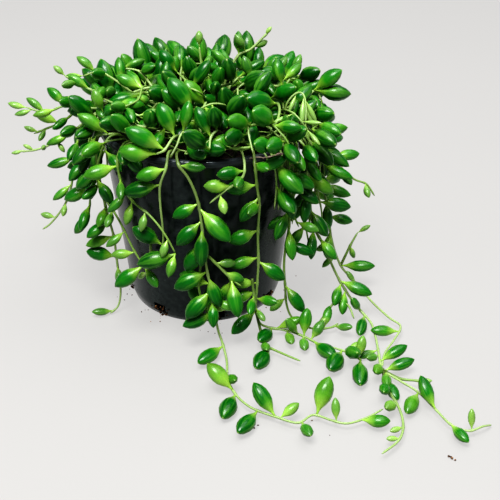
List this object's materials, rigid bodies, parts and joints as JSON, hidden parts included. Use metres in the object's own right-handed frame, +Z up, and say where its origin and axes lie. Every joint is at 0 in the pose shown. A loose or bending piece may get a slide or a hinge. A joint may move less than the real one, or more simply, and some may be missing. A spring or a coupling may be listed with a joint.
{
  "type": "potted trailing succulent",
  "caption": "Trailing succulent with tear-shaped leaves on thin stems, spilling from a round plastic nursery pot onto the surface around it.",
  "frame": {"origin": "centre of the pot's flat base, on the surface it stands on", "axes": "+Z up along the pot's axis, -Y towards the front, where the long stems trail, +X to the right"},
  "size_m": [0.2341, 0.2164, 0.1397],
  "materials": {
    "pot": "glossy charcoal-black thin-walled plastic",
    "soil": "moist, crumbly peat potting mix",
    "leaf": "smooth waxy succulent leaf, deep green, with pale yellow-green stems"
  },
  "bodies": {
    "root": {"pot": "pot", "soil": "soil", "strand_front_left": "leaf", "strand_front_long": "leaf", "strand_front_right": "leaf", "strand_right_corner": "leaf", "strand_right_long": "leaf", "strand_right_side": "leaf", "strand_left_drooping": "leaf", "strand_left_inner": "leaf", "strand_left_long": "leaf", "strand_left_front": "leaf", "strand_front_corner": "leaf", "strand_front_short": "leaf", "sprig_left_upper": "leaf", "sprig_left_rear": "leaf", "sprig_left_lower": "leaf", "strand_rim_01": "leaf", "strand_rim_02": "leaf", "strand_rim_03": "leaf", "strand_rim_04": "leaf", "strand_rim_05": "leaf", "strand_rim_06": "leaf", "strand_rim_07": "leaf", "strand_rim_08": "leaf", "strand_rim_09": "leaf", "strand_rim_10": "leaf", "strand_rim_11": "leaf", "strand_rim_12": "leaf", "strand_rim_13": "leaf", "strand_rim_14": "leaf", "strand_rim_15": "leaf", "strand_rim_16": "leaf", "strand_rim_17": "leaf", "strand_rim_18": "leaf", "crown": "leaf"}
  },
  "joints": []
}
